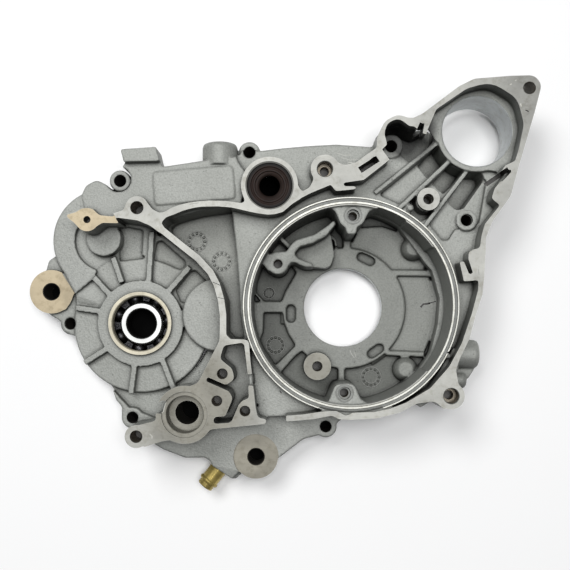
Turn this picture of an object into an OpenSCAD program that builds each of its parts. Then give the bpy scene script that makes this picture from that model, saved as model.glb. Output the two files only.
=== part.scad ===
// Crankcase half of a small single-cylinder engine: one light-alloy die casting that carries
// a clutch chamber, a gear case with its ball bearing, a starter motor socket, an oil seal and a hose nipple.
// Lengths are in millimetres. The split face lies on the ground at z = 0, with the cover's joint face on top.
// X and Y are measured from the axis of the crankshaft opening.

/* [Heights of the casting] */
// Height of the cover's joint face above the split face
joint_z = 60; // [56:0.5:70]
// Height of the top of the clutch chamber ring
ring_z = 57; // [53:0.5:59]
// Height of the plain deck around the chamber ring
deck_z = 42; // [38:0.5:46]
// Height of the flat at the upper left that carries the blank name pad
plate_z = 50; // [46:0.5:54]
// Height of the floor of the gear case's outer pockets
case_z = 26; // [24:0.5:28]
// Height of the gear case's hub and ribs
hub_z = 31; // [29:0.5:33]
// Height of the lower body below the joint face
body_z = 25; // [22:0.5:28]
// Height of the machined faces of the two engine mounts
mount_z = 26; // [24:0.5:30]
// Height of the floor of the tapered pocket left of the chamber
pocket_z = 18; // [16:0.5:22]
// Height of the web round the crankshaft opening
web_z = 13; // [11:0.5:16]
// Height of the sunk floor between the chamber's ribs
floor_z = 8; // [7:0.5:10]

/* [Clutch chamber] */
// Radius of the crankshaft opening
crank_r = 27.7; // [24:0.1:30]
// Radius of the chamber's bore
chamber_r = 66.3; // [64:0.5:68]
// Width of the chamber's ring at its top
ring_w = 5.7; // [4:0.1:8]
// How far the chamber's centre lies right of the crankshaft axis
ring_dx = 2.9; // [0:0.1:4]

/* [Starter socket] */
// Radius of the starter motor's socket
starter_r = 23.6; // [20:0.1:26]
// Wall of the socket
starter_wall = 3.8; // [3:0.1:5]
// Height of the socket's rim
starter_z = 45; // [42:0.5:50]
// Height of the socket's lower end
starter_low = 9; // [4:0.5:14]

/* [Ball bearing] */
// Bore diameter of the bearing
bearing_bore = 20; // [17:0.5:20]
// Outside diameter of the bearing
bearing_od = 52; // [50:0.5:56]
// Width of the bearing
bearing_w = 15; // [12:0.5:15]
// Diameter of one ball as a share of the height of the section between the bearing's bore and outside
ball_share = 0.5953; // [0.5:0.0001:0.62]
// Height of the bearing's upper face
bearing_top = 26; // [24:0.5:27]
// How far the lip above the bearing reaches over its outer race
lip_over = 7; // [5:0.1:8]
// Width of the ring of metal round the bearing's bore
hub_w = 3.8; // [3:0.1:5]
// Play between each ball and the grooves
ball_play = 0.05; // [0.02:0.01:0.1]

/* [Oil seal] */
// Outside diameter of the oil seal
seal_od = 30.2; // [28:0.1:32]
// Diameter of the seal's lip
seal_lip_d = 13.8; // [12:0.1:16]
// Width of the seal
seal_w = 7; // [6:0.5:9]

/* [Hose nipple] */
// Outside diameter of the nipple's tube
nipple_od = 12.6; // [10:0.1:14]
// Wall of the nipple's tube
nipple_wall = 1.4; // [1:0.1:2]
// Length of the nipple outside the casting
nipple_len = 17; // [14:0.5:24]

/* [Holes] */
// Radius of the case bolts' holes
bolt_r = 4.1; // [3.2:0.1:4.5]
// Radius of the engine mounts' holes
mount_r = 5.6; // [5:0.1:6.5]
// Radius of the dowel holes in the joint face
dowel_r = 5; // [4:0.1:5.5]
// Radius of the cover screws' holes
screw_r = 3.2; // [2.5:0.1:3.5]

/* [Hidden] */
$fn = 64;
crank = [0, 0];
ring_c = [ring_dx, 0.5];
bearing_c = [-141.2, -11.4];
case_c = [-141.2, -12.5];
crescent_c = [-166, 46];
pad_c = [-86.4, -5.5];
seal_c = [-51.2, 79.6];
starter_c = [89, 118.4];
oil_c = [-107.4, -72];
mount_1 = [-204, 10.7];
mount_2 = [-61.3, -104.3];
dowel_1 = [-14.6, 90.4];
dowel_2 = [68.9, -59.6];
upper_lug = [-138.8, 64.8];
flat_lug = [-172.1, 57.1];
lower_lug = [-139.3, -86.4];
corner_lug = [120.5, 143.9];
post_c = [-18.6, -41.2];
chamber_lugs = [[4.4, 60.2], [-1.3, -58.1]];
case_bolts = [[31.1, 108.8], [82.2, 58.6], [-191.3, -11.6], [-147.5, -77],
    [-12.7, -83.3], [-65.3, 105.1], [-153, 85.3]];
middle = [-45.6, 10.92];
ring_r = chamber_r + ring_w;
seal_bottom = joint_z - 1.2 - seal_w;
lip_r = bearing_od / 2 - lip_over;
pitch_r = (bearing_bore + bearing_od) / 4;
ball_d = (bearing_od - bearing_bore) / 2 * ball_share;
groove_r = ball_d * 0.52;
bearing_low = bearing_top - bearing_w;
ball_count = 7;
nipple_at = [-87.5, -113.5];
nipple_angle = 231;
nipple_z = 14;

// Helpers that round the corners of hand-chosen outlines
function unit(v) = v / norm(v);
function arc_points(b, u, v, r, half, n) =
    let (mid = b + unit(u + v) * r / sin(half), from = b + u * r / tan(half) - mid,
        to = b + v * r / tan(half) - mid, turn = 180 - 2 * half,
        way = from.x * to.y - from.y * to.x > 0 ? 1 : -1)
    [for (k = [0:n]) mid + [from.x * cos(way * turn * k / n) - from.y * sin(way * turn * k / n),
        from.x * sin(way * turn * k / n) + from.y * cos(way * turn * k / n)]];
function corner(a, b, c, r, n) =
    let (u = unit(a - b), v = unit(c - b), half = acos(max(-1, min(1, u * v))) / 2,
        cut = min(r / tan(half), 0.48 * min(norm(a - b), norm(c - b))))
    r < 0.05 || half > 88 ? [b] : arc_points(b, u, v, cut * tan(half), half, n);
function flat(p) = [p.x, p.y];
function outline(c, r = 0, n = 3) = [for (i = [0:len(c) - 1])
    each corner(flat(c[(i + len(c) - 1) % len(c)]), flat(c[i]), flat(c[(i + 1) % len(c)]),
        c[i][2] == undef ? r : c[i][2], n)];

function area(p) = [for (i = [0:len(p) - 1]) p[i].x * p[(i + 1) % len(p)].y - p[(i + 1) % len(p)].x * p[i].y]
    * [for (i = [0:len(p) - 1]) 0.5];
function ccw(p) = area(p) > 0 ? p : [for (i = [len(p) - 1:-1:0]) p[i]];

module shape(points, r = 0, n = 3) {
    polygon(ccw(outline(points, r, n)));
}

// Brings the middle of the part's plan over the origin
module placed() {
    translate([-middle.x, -middle.y, 0]) children();
}

module disc(at, r) {
    translate(at) circle(r);
}

module slot(a, b, w) {
    d = unit(b - a) * w / 2;
    side = [-d.y, d.x];
    polygon([a - side, b - side, b + side, a + side]);
    disc(a, w / 2);
    disc(b, w / 2);
}

module bar(a, b, w) {
    d = unit(b - a) * w / 2;
    side = [-d.y, d.x];
    polygon([a - side, b - side, b + side, a + side]);
}

// A wall of even width along a path
function along(p, i) = i == 0 ? unit(p[1] - p[0]) : i == len(p) - 1 ? unit(p[i] - p[i - 1])
    : unit(unit(p[i + 1] - p[i]) + unit(p[i] - p[i - 1]));
function beside(p, w) = [for (i = [0:len(p) - 1]) p[i] + [-along(p, i).y, along(p, i).x] * w];

module wall(path, w) {
    polygon(ccw(concat(beside(path, w / 2), [for (i = [len(path) - 1:-1:0]) beside(path, -w / 2)[i]])));
}

module prism(low, high) {
    translate([0, 0, low]) linear_extrude(high - low) children();
}

module hole(at, r, low, high) {
    translate([at.x, at.y, low]) cylinder(r = r, h = high - low);
}

// Walls of the joint face, traced from left to right
module flat_lug_face() {
    disc(flat_lug, 7.7);
    shape([[-185.5, 60.3], [-179.5, 62, 3], [-175.5, 64.5], [-168.5, 64.3], [-164, 60, 4], [-154, 59],
        [-151, 54.7], [-162, 55, 3], [-167, 51.8], [-178, 52.3], [-180.5, 55, 2], [-185, 58.5]]);
}

module upper_lug_face() {
    disc(upper_lug, 7.6);
    shape([[-154.5, 61], [-147.5, 63.2, 3], [-145.8, 68], [-132, 68], [-128.5, 63.7, 4], [-124, 61.3, 3],
        [-120.5, 62], [-118, 59], [-119.6, 58.5, 2], [-122.7, 55, 1.5], [-121.5, 52, 1], [-121.5, 49],
        [-124, 48.5], [-130, 53, 8], [-138.5, 56.5, 8], [-153.5, 58.5]]);
}

module upper_branch_face() {
    shape([[-120.5, 62], [-116, 64.6], [-111, 66.5], [-104.5, 68.1], [-98, 69], [-90.5, 69.5],
        [-82.5, 69.3], [-76, 68.7], [-71, 67.9], [-68.5, 68], [-67.6, 69.5], [-69, 74.5], [-60, 74],
        [-40, 74], [-31, 70.6], [-36, 67.5], [-39.5, 64.5], [-42.5, 62], [-47.5, 60.6], [-52, 60.2],
        [-57, 60.8], [-63.5, 62], [-69, 63.3], [-76, 64.9], [-85.5, 65.7], [-96, 65.5], [-101.5, 64.7],
        [-108, 63], [-115, 60.1], [-119.6, 58.5]]);
    disc(seal_c, 18.8);
}

module lower_branch_face() {
    wall([[-126, 55.4], [-122, 50], [-109.5, 40], [-98.5, 31.3], [-90.2, 22.2], [-86, 14], [-83.2, 4],
        [-81.9, -6], [-81.9, -19]], 4.2);
}

module dowel_run_face() {
    disc(dowel_1, 9.4);
    shape([[-36, 79.5], [-32.4, 79.2], [-29.7, 75.3, 1.5], [-24.5, 78.3, 4], [-21.8, 84, 4], [-24, 90],
        [-14, 99], [-8, 95.7, 3], [-2, 92.7, 6], [6, 94.6, 6], [12, 99.2], [19.5, 104.3, 1], [20, 112, 8],
        [25, 122, 8], [33.5, 126.5, 8], [40, 124.3, 6], [45, 124, 3], [50, 121], [49.5, 118.5],
        [47, 116.2], [44.5, 118.5, 1], [41, 118.8, 3], [34, 124.3, 7], [26.5, 120.5, 6], [24.5, 114, 6],
        [26.5, 106.5, 2], [23, 103.4], [28, 96.5], [11, 83.2, 1], [-2, 81.3], [-2.5, 80], [-1.4, 78.9],
        [5, 78.9], [6, 78], [5, 77], [-7.4, 75.8, 1], [-10.7, 80, 1], [-24, 74.5, 8], [-36, 68.3]]);
}

module starter_flange_face() {
    shape([[44, 124.2], [50, 127], [60, 134.5, 4], [74, 145, 8], [84, 150, 10], [108, 151.9, 4],
        [124, 152.3, 7], [128.5, 146, 6], [124, 128.4, 4], [113.2, 91.9, 6], [108, 72.5, 14],
        [96, 56, 14], [91.7, 45, 8], [91.5, 34], [84.5, 36.5], [87.9, 39], [88.8, 46.2, 6],
        [91, 54, 6], [101, 66.4, 0.5], [95.5, 71, 2], [97.5, 77.5, 4], [107.9, 90, 1.5], [100.5, 86.6, 0.5],
        [104.5, 92.6], [111, 95.7, 0.5], [113.2, 102.6, 6], [116.9, 120, 14], [112.5, 137, 14],
        [95, 148, 22], [79, 143.5, 16], [58.9, 129.8, 2], [56, 123, 2], [51.9, 113.2], [50, 114],
        [53, 120.5], [46, 121]], n = 4);
}

module right_wall_face() {
    disc(dowel_2, 8.8);
    shape([[91.5, 37], [90.5, 19], [89.5, 8, 8], [84.5, -7.5, 12], [81, -21.5, 8], [74.8, -34, 8],
        [71.8, -42, 8], [73.4, -51], [76, -58], [64.1, -68.2], [58, -63, 5], [46, -64.5, 6],
        [35, -70.5, 10], [20, -74.3, 10], [1, -75.4], [3, -70.6], [18, -70.2, 10], [28.5, -68, 10],
        [39, -64, 10], [55, -54.5, 10], [67.5, -40.2, 10], [75.7, -25, 12], [82.3, -5.6, 12],
        [86.7, 11, 4], [86.8, 17, 1], [77.2, 16.2, 0.3], [74.4, 28.8], [77, 29.4], [80.7, 20.6, 0.8],
        [83.3, 21.5, 0.8], [80.1, 31], [80.4, 35.3, 1], [84, 37.5]]);
}

module bottom_strip_face() {
    shape([[-40.2, -72.6], [-29.5, -71.8], [-15, -69.7, 4], [-7, -69.4, 4], [-1, -72.6], [3, -71.5],
        [3, -75.2], [-5, -75, 3], [-10, -72.5, 3], [-14, -73.2, 3], [-22, -74.8], [-33, -75.8],
        [-40.2, -76.3]]);
}

module oil_passage() {
    shape([[-65.6, -45], [-64.8, -61, 1.5], [-69, -62.7, 2], [-71.5, -65.3, 2], [-76.5, -77.2, 3],
        [-88.5, -78.1, 2], [-88, -73.4, 2], [-80.5, -72.9, 2], [-75.5, -61, 4], [-78, -56.5, 4],
        [-93.3, -49.8, 1.2], [-92.3, -46.8, 1.2], [-80, -52.3, 3], [-74.2, -48.5, 4], [-76, -41.5, 4],
        [-84, -35, 3], [-81.5, -26.2, 3], [-68, -24.2, 2]]);
}

module lower_web_face() {
    difference() {
        union() {
            shape([[-84, -15], [-84.2, -23, 8], [-98.5, -51, 6], [-104, -53.2, 4], [-114, -54.5, 6],
                [-123.5, -64.5, 6], [-125.4, -69], [-126.4, -76, 2], [-140, -79.5], [-134, -93.3],
                [-122, -89.4, 6], [-117, -88.7, 4], [-106, -91.7, 10], [-96, -87, 6], [-90, -81.5, 5],
                [-54, -78, 1.5], [-53.2, -75, 1], [-59, -73.8, 3], [-60.4, -67.5], [-63.9, -36],
                [-65, -22.4, 3], [-77, -22, 2], [-80, -19, 2], [-80, -15]]);
            disc(lower_lug, 7.6);
            disc([-107.2, -72], 19.2);
        }
        oil_passage();
        bar([-66.5, -49], [-58, -49], 7.4);
        shape([[-119.2, -63.6], [-121.8, -62.2], [-127, -66], [-127, -71], [-121, -71.2]]);
    }
}

// Boss with a domed top
module dome(at, r, low, high) {
    translate([at.x, at.y, low]) rotate_extrude() union() {
        square([r, high - r * 0.8 - low]);
        intersection() {
            translate([0, high - r * 0.8 - low]) circle(r = r);
            square([r, high - low]);
        }
    }
}

// Plain bodies below the joint face, each one a flat outline
module ring_disc() {
    disc(ring_c, ring_r);
}

// Groove turned into the ring's top, and the two places where its inner wall is cut back
module ring_groove() {
    prism(ring_z - 1.2, joint_z + 1) difference() {
        disc(ring_c, chamber_r + 4.7);
        disc(ring_c, chamber_r + 2.7);
        bottom_strip_face();
        right_wall_face();
        lower_web_face();
        dowel_run_face();
    }
}

module ring_windows() {
    prism(web_z + 9, joint_z) intersection() {
        disc(ring_c, chamber_r + 1.1);
        union() {
            shape([[57, 40], [90, 60], [90, -66], [53, -46]]);
            shape([[22, 80], [19, 56], [42, 56], [48, 70]]);
        }
    }
}

module deck_outline() {
    shape([[-77, 64], [-74.2, 38], [-72.2, 15], [-71.3, -4, 20], [-68.5, -22], [-64.5, -24],
        [-62, -50], [-58, -75.5], [-40, -74.5], [-22, -73], [-4, -72.5], [8, -73], [22, -72],
        [39, -66], [56, -58.5], [68, -48], [76, -28], [83.5, -6], [87.5, 12], [85, 26], [88.5, 36],
        [91, 50], [98, 60], [103, 70], [101, 82], [108, 92], [110, 97], [100, 104], [70, 105],
        [56, 118], [47, 118], [36, 125], [26, 121], [22, 112], [24, 100], [8, 93], [-4, 82],
        [-22, 80], [-32, 72], [-44, 64], [-52, 61]]);
}

module plate_outline() {
    difference() {
        shape([[-178, 74, 3], [-174.8, 81, 5], [-167.5, 85, 5], [-159, 80.5], [-150.8, 92.8, 2],
            [-148, 97, 1], [-125, 98, 1], [-123.3, 93.7, 0.5], [-96, 97.8], [-74, 100.4], [-72, 96],
            [-67.5, 90], [-69, 76], [-71, 66], [-122, 58], [-150, 60], [-160, 57], [-174, 58]]);
        disc(case_bolts[6], 8.6);
    }
}

module exterior_outline() {
    shape([[-76, 92], [-76, 99], [-70, 106], [-58, 105.9, 3], [-44, 107.6], [-25, 109.3], [-6, 110.3],
        [18.4, 108.5, 2], [20.4, 113.6, 2], [25, 119], [30, 104], [5, 92], [-24, 76], [-62, 78]]);
}

module gear_outline() {
    disc(crescent_c, 36);
    disc(case_c, 47);
    shape([[-200.5, 36.1], [-186.5, 8.5], [-187.5, -14], [-141, -30], [-90, -30], [-84, -10],
        [-88, 18], [-124, 48], [-146, 58], [-172, 60]]);
}

module side_outline() {
    shape([[-210, 16], [-208.4, 25.3, 2], [-206.5, 32.5, 3], [-200.5, 36.5], [-180, 30],
        [-182, -20.3], [-190, -19.8, 3], [-196, -16.5, 3], [-198.5, -9.5, 3], [-205.5, -5.5]], n = 4);
}

module lower_outline() {
    shape([[-170, -45], [-161.5, -57.5, 6], [-159, -65, 4], [-155, -69.5, 4], [-155.3, -79, 6],
        [-149, -85.5, 4], [-143, -84], [-137, -93], [-126, -99.4, 8], [-111, -105.2, 8],
        [-97, -105, 3], [-93.5, -107.5], [-92, -110.5], [-78, -120], [-60, -100],
        [-45.6, -105.5, 4], [-28, -92, 10], [-18, -89.5], [-8.5, -89.7, 3], [-4.5, -80.5, 3],
        [4, -74.5], [10, -40], [-60, -20], [-90, -20], [-140, -30]]);
}

module base_outline() {
    difference() {
        union() {
            gear_outline();
            lower_outline();
            plate_outline();
            exterior_outline();
            deck_outline();
            shape([[-125, 52], [-116, 63], [-72, 68], [-66, 60], [-60, -30], [-90, -30], [-100, 20]]);
            disc(case_bolts[0], 9);
            disc(case_bolts[1], 8);
            disc(case_bolts[3], 7.7);
            disc(case_bolts[4], 7.7);
        }
        shape([[38, 140], [41, 112], [90, 66], [130, 60], [130, 140]]);
    }
}

module starter_base_outline() {
    shape([[30, 96], [22, 106], [22, 118], [28, 125], [37, 126, 3], [46, 120], [56, 122], [66, 116],
        [92, 100], [99, 93], [99, 80], [94, 66], [86, 60], [60, 74]]);
}

// Hollows of the split-face side, as flat outlines
module gear_hollow() {
    disc(crescent_c, 30.5);
    disc(case_c, 41);
    shape([[-192, 32, 3], [-180, 4, 6], [-180, -20, 3], [-141, -40], [-106, -46, 8], [-92, -24, 8],
        [-90, 6, 8], [-96, 22, 6], [-126, 44, 6], [-150, 62]]);
}

module lower_hollow() {
    difference() {
        shape([[-148, -66, 4], [-128, -92, 5], [-110, -99, 5], [-96, -99, 4], [-90, -94, 4], [-66, -88, 4],
            [-40, -94, 4], [-24, -84, 4], [-24, -79, 3], [-60, -68, 6], [-92, -56, 8], [-120, -60, 8]]);
        disc(oil_c, 17);
    }
}

module pocket_hollow() {
    shape([[-84, 18, 4], [-84, -18, 4], [-66, -18, 4], [-67, 12, 8], [-63, 36, 4], [-66, 58, 4],
        [-112, 58, 4], [-112, 50, 4]]);
}

module upper_hollow() {
    shape([[-60, 64, 4], [-60, 96, 6], [-42, 101, 4], [14, 102, 4], [16, 92, 4], [4, 79, 6],
        [-34, 68, 8]]);
}

module plate_hollow() {
    shape([[-140, 68, 4], [-142, 80, 4], [-132, 90, 4], [-82, 94, 4], [-76, 74, 4], [-100, 72, 6]]);
}

module tapered_pocket() {
    shape([[-77.2, 67], [-75.6, 51], [-74.2, 37], [-73.2, 23.4], [-72.2, 13], [-71.7, 2], [-71.3, -6],
        [-70.4, -13.6], [-68.8, -21.5], [-76, -21.5], [-80, -17], [-80.5, 4], [-84.5, 15], [-89, 23],
        [-98, 32.5], [-120, 50], [-121, 55], [-117, 58.5], [-108, 61.5], [-98, 64], [-90, 65]]);
}

// Gear case front: crescent, hub, ribs and pads
rib_lines = [[[-160.2, 34.3], [-154.2, 17]], [[-133.4, 52], [-135.6, 18]], [[-107.4, 27.7], [-121.8, 11]],
    [[-173.4, 20.5], [-162, 8]], [[-186, -0.5], [-169, -3]], [[-180, -38.7], [-164, -28.5]],
    [[-147.9, -60], [-145.3, -40]], [[-117, -60], [-126, -37]]];

module gear_front() {
    prism(case_z - 3, crescent_z()) difference() {
        intersection() {
            union() {
                disc(crescent_c, 36);
                shape([[-201, 37], [-186.5, 8.5], [-160, 20], [-160, 60]]);
            }
            union() {
                shape([[-215, 90], [-215, 5], [-187.5, 8.5], [-176, 18], [-172, 24], [-176, 80]]);
                shape([[-176, 24], [-176, 90], [-120, 90], [-140, 60], [-160, 56]]);
            }
        }
        disc(crescent_c, 21);
    }
    prism(case_z - 3, crescent_z() - 3) difference() {
        intersection() {
            disc(crescent_c, 23);
            shape([[-190, 66], [-190, 28], [-176, 24], [-168, 30], [-152, 40], [-152, 66]]);
        }
        disc(case_c, 48);
    }
    prism(case_z - 3, hub_z) {
        disc(bearing_c, bearing_od / 2 + hub_w);
        for (l = rib_lines) bar(l[0], l[1], 3.8);
    }
    prism(case_z - 3, pad_z()) difference() {
        disc(pad_c, 25.3);
        shape([[-82, 22], [-82, -40], [-50, -40], [-50, 22]]);
    }
    prism(case_z - 3, case_z - 1.5) intersection() {
        disc(case_c, 50);
        shape([[-106.5, 24], [-98, 13], [-92, 16], [-100, 30]]);
    }
    prism(case_z - 3, pad_z() + 1) {
        disc([-166, 47], 12);
        shape([[-171, 56], [-159, 58], [-155.5, 50], [-170, 44]], 2);
    }
}

function crescent_z() = hub_z - 1.5;
function pad_z() = hub_z + 3;

module gear_sinks() {
    // The floor steps down outside the ring round the hub, above and below it
    prism(case_z - 3, case_z + 1) {
        difference() {
            shape([[-157, 57], [-156.5, 32], [-139.2, 34], [-137.2, 53.4, 2]]);
            disc(case_c, 46);
            disc([-166, 47], 12);
            bar([-139.6, 36], [-138.6, 53], 3);
        }
        difference() {
            shape([[-133, 33], [-130.6, 45.5, 2], [-127, 46.5, 2], [-110.5, 32, 2], [-110.5, 29, 1],
                [-114, 26]]);
            disc(case_c, 46);
        }
        difference() {
            shape([[-117.5, 11.8, 1.5], [-107.3, 24.6, 1.5], [-103.5, 25.8, 2], [-95.8, 18, 2], [-96.5, 15, 1.5],
                [-100, 13], [-108, 6], [-111.5, 2.6, 1], [-114, 3.6, 1.5]]);
            disc(pad_c, 25.3);
        }
    }
    prism(body_z - 4, case_z + 1) difference() {
        shape([[-172, -46], [-150, -70], [-128, -79], [-122, -62], [-101, -53], [-88, -33], [-92, -26],
            [-116, -40], [-140, -50]]);
        disc(case_c, 47);
        disc(pad_c, 25.3);
        bar(rib_lines[7][0], rib_lines[7][1], 3.8);
        disc(case_bolts[3], 7);
    }
}

// Clutch chamber: web, ribs, sunk floors, lugs and the forked rib
module chamber_floor() {
    prism(floor_z - 3, web_z) difference() {
        union() {
            disc([1.5, -0.5], 43);
            bar([-66, 2.3], [-38, 2.3], 3.5);
            bar([-52, -46], [-30, -29.5], 3.5);
            bar([36, 24.8], [64, 24.2], 4.4);
            bar([31, -32.3], [58, -33.5], 3.6);
            bar([-1, -42], [-1, -60], 4.6);
            bar([3, 40], [3, 60], 5);
            shape([[-62.5, 10], [-58, 4], [-42, 2], [-40, 12, 3], [-34, 24], [-28, 34], [-46, 46], [-60, 30]]);
            difference() {
                shape([[-68, 1], [-38, 1], [-30, -30], [-44, -46], [-55, -44], [-68, -20]]);
                shape([[-56.3, -3.5, 1], [-42.7, -3.5, 1], [-41.6, -11], [-38.5, -19], [-33.5, -27, 1.5],
                    [-48, -41.5, 1], [-59.5, -24.4, 1], [-56.8, -17]]);
            }
        }
        shape([[-62, 10.5, 1], [-56.3, 4.6, 1], [-43.5, 4.2, 2], [-40.8, 11.5, 3], [-33, 25, 1],
            [-40, 36], [-60, 28]]);
    }
    prism(floor_z - 3, web_z - 2) {
        shape([[34, 24.5], [60.5, 24], [66, 12], [67.5, -1], [64.5, -18], [58.5, -31.5], [30, -31],
            [42, -14], [43.5, 4]]);
        shape([[5, 43], [22, 38], [36, 26], [58, 27], [60, 40], [46, 52], [28, 58], [12, 57]]);
    }
    prism(floor_z - 3, web_z + 9) intersection() {
        disc(ring_c, chamber_r + 1);
        difference() {
            shape([[36, 60], [58, 30], [62, 26], [67.5, 6], [66, -12], [61, -32], [52, -46], [74, -30],
                [78, 20], [56, 56]], 2);
        }
    }
    dome([44.4, -43.8], 8.5, floor_z - 3, web_z + 5);
    dome([49.6, 41.6], 8, floor_z - 3, web_z + 7);
    // Platform between the fork's tines, and the thin ribs beside it
    prism(floor_z - 3, web_z + 15) shape([[-38, 42], [-38, 30], [-26, 30], [-21, 27.2], [-13, 26.9, 2],
        [-9, 28.5, 3], [-7, 35, 3], [-7, 38], [-9, 49.5], [-12, 54], [-24, 43], [-34, 41]]);
    prism(floor_z - 3, web_z + 20) intersection() {
        disc(ring_c, chamber_r + 1);
        bar([-50, 53], [-37, 40.5], 2.6);
    }
    prism(floor_z - 3, web_z + 8) wall([[-9, 50.5], [-6, 47], [-5, 43]], 1.6);
    hole(post_c, 9.5, floor_z - 3, post_z());
    prism(floor_z - 3, fork_z()) fork_face();
    prism(floor_z - 3, lug_z()) lug_faces();
}

function post_z() = web_z + 16;
function fork_z() = deck_z;
function lug_z() = ring_z - 2;

module fork_face() {
    disc([-45.8, 29], 7.2);
    shape([[-66, 39], [-54, 35, 2], [-47, 37.5], [-40, 37.5, 2], [-37, 42, 3], [-33.5, 45.3, 2], [-21, 49, 6],
        [-12, 55, 2], [-7.5, 59, 2], [-6, 56.5, 1.5], [-13, 48, 4], [-22, 43, 4], [-31, 40.5, 3],
        [-35, 36, 2.5], [-32, 32.8, 3], [-22.5, 29.2, 1.5], [-21.5, 26.5, 1.5], [-27, 26.5, 2],
        [-36, 30.7, 3], [-40, 26], [-52, 24], [-60, 33, 2], [-66, 32]]);
}

module lug_faces() {
    intersection() {
        disc(ring_c, chamber_r + 2);
        union() {
            shape([[-17, 72], [-14, 67.5, 4], [-7.5, 63, 4], [-3.8, 54.5, 4], [-1, 52.5, 2], [0.5, 47.6, 2],
                [6.3, 47.6, 2], [7.2, 52.5, 2], [11, 55, 4], [15, 63, 4], [24, 66.5, 4], [28, 72]]);
            shape([[-22, -72], [-19, -67.5, 3], [-12, -63.5, 4], [-7.5, -52, 5], [5, -51.5, 5],
                [9.5, -62, 4], [19, -67.5, 3], [22, -72]]);
        }
    }
}

// Starter socket and the ribs that carry it
module starter_socket() {
    hole(starter_c, starter_r + starter_wall, starter_low, starter_z);
}

starter_ribs = [[[20, 77], [66, 114]], [[36, 66], [73, 101]], [[53, 53.5], [84, 94]]];

module starter_deck() {
    prism(deck_z - 5, deck_z + 1.5) for (l = starter_ribs) bar(l[0], l[1], 2.8);
    hole([55.8, 72.4], 7.6, deck_z - 6, deck_z + 5);
    hole(case_bolts[1], 7.4, deck_z - 4, deck_z + 2);
    hole(case_bolts[0], 8, deck_z - 4, deck_z + 1);
}

module starter_pockets() {
    // Lowered bays between the ribs
    prism(deck_z - 3.5, deck_z + 1) {
        shape([[23, 76], [37, 69.5], [69, 99], [62, 108]], 1);
        shape([[39.5, 66.5], [52, 57.5], [81, 90], [73.5, 98]], 1);
        shape([[56.9, 55.9, 1], [65.8, 45.1, 2], [70, 45, 3], [75, 53, 3], [84, 52], [91, 57], [93, 68],
            [96, 86], [84, 92]]);
    }
    prism(starter_low + 6, deck_z) difference() {
        union() {
            shape([[49.5, 96, 1], [56, 88, 1], [72, 100], [64, 112]]);
            shape([[59.5, 84, 1], [67, 77, 1], [84, 92], [72, 98]]);
            shape([[70.2, 71.4, 2], [76, 66, 3], [81, 67, 3], [96, 88, 4], [86, 95]]);
        }
        disc(starter_c, starter_r + starter_wall);
        for (l = starter_ribs) bar(l[0], l[1], 2.8);
    }
    // Deep corner left of the socket, behind the flange
    prism(deck_z - 18, deck_z + 1) difference() {
        disc([54.2, 69.8], 10.6);
        disc([55.8, 72.4], 7.6);
        shape([[44, 78], [70, 62], [80, 80], [56, 92]]);
        for (l = starter_ribs) bar(l[0], l[1], 2.8);
        disc(ring_c, ring_r + 1);
    }
    prism(starter_low + 6, deck_z + 1) difference() {
        shape([[26.5, 112, 3], [25.5, 118, 4], [31, 123, 5], [40, 120, 3], [47, 117, 2], [56, 121.5, 2],
            [62, 120], [60, 112], [52, 104.5], [44, 98], [37, 104]]);
        disc(starter_c, starter_r + starter_wall);
        bar(starter_ribs[0][0], starter_ribs[0][1], 2.8);
        disc(case_bolts[0], 8);
    }
}

// Engine mounts, case bolt lugs, the nipple's boss and other outer features
module outer_features() {
    prism(4, mount_z - 2) side_outline();
    prism(2, mount_z) {
        disc(mount_1, 15.2);
        shape([[-206, 26], [-198.7, 24.7, 2], [-188, 9.7, 2], [-193.9, -1.7, 3], [-204, -4]], n = 4);
    }
    hole(mount_2, 15.4, 2, mount_z);
    hole(case_bolts[2], 7.7, 0, 21);
    hole(case_bolts[3], 7.4, 0, 23);
    hole(case_bolts[4], 7.7, 0, body_z + 1);
    hole(case_bolts[5], 7.3, 0, 40);
    hole(case_bolts[6], 7.2, 0, deck_z + 1);
    prism(30, plate_z + 6) shape([[-150.6, 104.3, 1], [-126.8, 106, 1], [-124.5, 96.5, 1], [-148.3, 95.8, 1]]);
    // Round stub along Y with a domed end
    translate([-85.3, 0, 40]) rotate([-90, 0, 0]) rotate_extrude()
        polygon([[0, 95.5], [11.9, 95.5], [11.9, 108], [11, 110], [8, 111.2], [0, 111.8]]);
    // Boss on the right flank
    stub_along_x([70, -33, 18], 10, 25);
    stub_along_x([66, -51, 16], 6.5, 21);
    // Boss that takes the hose nipple
    prism(nipple_z - 10, nipple_z + 10) shape([[-97, -103], [-93, -108.5], [-91.5, -111.5],
        [-80.5, -118.5, 2], [-76, -120.5, 2], [-71, -116], [-66, -100]]);
}

module stub_along_x(at, r, length) {
    translate(at) rotate([0, 90, 0]) rotate_extrude()
        polygon([[0, 0], [r, 0], [r, length - 3], [r - 1, length - 1], [r - 3, length], [0, length]]);
}

module wall_skirts() {
    prism(38, joint_z) {
        starter_flange_face();
        dowel_run_face();
    }
    prism(20, joint_z) {
        upper_lug_face();
        upper_branch_face();
        right_wall_face();
        bottom_strip_face();
        lower_web_face();
    }
    prism(20, joint_z) lower_branch_face();
    prism(20, joint_z - 1.5) flat_lug_face();
    prism(joint_z - 15, joint_z - 8) bar([-64, -54], [-64, -44], 3);
    // Shelf between the starter flange and its socket
    prism(36, starter_z) difference() {
        shape([[55, 121, 2], [58.9, 130], [79, 143.5, 10], [95, 147.5, 20], [112, 138, 14], [117, 120, 10],
            [111, 95.7], [103, 91], [96, 92], [70, 104], [61, 112]]);
        disc(starter_c, starter_r + starter_wall - 1);
    }
}

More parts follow.
